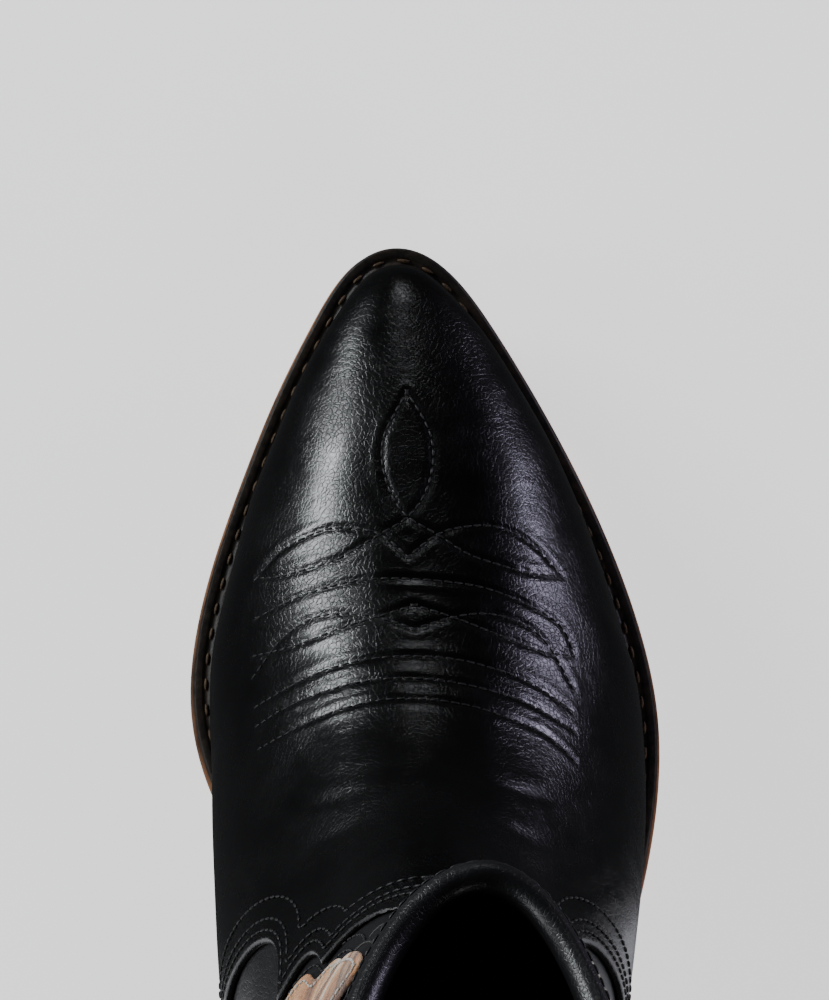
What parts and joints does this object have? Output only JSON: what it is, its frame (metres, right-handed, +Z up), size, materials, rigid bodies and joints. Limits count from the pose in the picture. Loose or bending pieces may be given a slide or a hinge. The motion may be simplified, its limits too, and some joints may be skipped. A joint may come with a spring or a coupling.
{
  "type": "cowboy boot",
  "caption": "Right western ankle-to-calf boot with pointed toe, stitched vamp, scalloped shaft dip, pull straps, leather sole and stacked underslung heel.",
  "frame": {"origin": "middle of the heel's tread, on the ground", "axes": "+Y from heel to toe, +X towards the outer side of the right foot, +Z up"},
  "size_m": [0.0981, 0.315, 0.3183],
  "materials": {
    "boot_leather": "semi-gloss pebbled black",
    "shaft_leather": "satin black",
    "trim_leather": "satin black",
    "lining": "matte",
    "inlay": "matte tan and cream",
    "stiffener": "rough leatherboard",
    "backer": "plain weave",
    "welt": "satin dark brown",
    "outsole": "burnished",
    "heel_stack": "burnished",
    "top_lift": "matte",
    "steel": "plain",
    "peg_wood": "raw",
    "cork": "raw cork",
    "insole": "vegetable tanned",
    "sock": "smooth"
  },
  "bodies": {
    "root": {"cork_filler": "cork", "counter": "boot_leather", "heel_lift_1": "heel_stack", "heel_lift_2": "heel_stack", "heel_lift_3": "heel_stack", "heel_lift_4": "heel_stack", "heel_lift_5": "heel_stack", "heel_nail_1": "steel", "heel_nail_2": "steel", "heel_nail_3": "steel", "heel_nail_4": "steel", "heel_nail_5": "steel", "heel_rand": "welt", "heel_screw": "steel", "heel_stiffener": "stiffener", "heel_top_lift": "top_lift", "heel_wedge": "heel_stack", "inlay_back_inner": "inlay", "inlay_back_outer": "inlay", "inlay_front_inner": "inlay", "inlay_front_outer": "inlay", "insole": "insole", "outsole": "outsole", "pull_strap_inner": "trim_leather", "pull_strap_outer": "trim_leather", "shaft_back": "shaft_leather", "shaft_front": "shaft_leather", "shaft_lining_back": "lining", "shaft_lining_front": "lining", "side_piping_inner": "trim_leather", "side_piping_outer": "trim_leather", "sock_liner": "sock", "sole_peg_inner_1": "peg_wood", "sole_peg_inner_2": "peg_wood", "sole_peg_inner_3": "peg_wood", "sole_peg_inner_4": "peg_wood", "sole_peg_inner_5": "peg_wood", "sole_peg_inner_6": "peg_wood", "sole_peg_outer_1": "peg_wood", "sole_peg_outer_2": "peg_wood", "sole_peg_outer_3": "peg_wood", "sole_peg_outer_4": "peg_wood", "sole_peg_outer_5": "peg_wood", "sole_peg_outer_6": "peg_wood", "steel_shank": "steel", "toe_box": "stiffener", "top_binding": "trim_leather", "vamp": "boot_leather", "vamp_backer": "backer", "vamp_lining": "lining", "welt": "welt"}
  },
  "joints": []
}
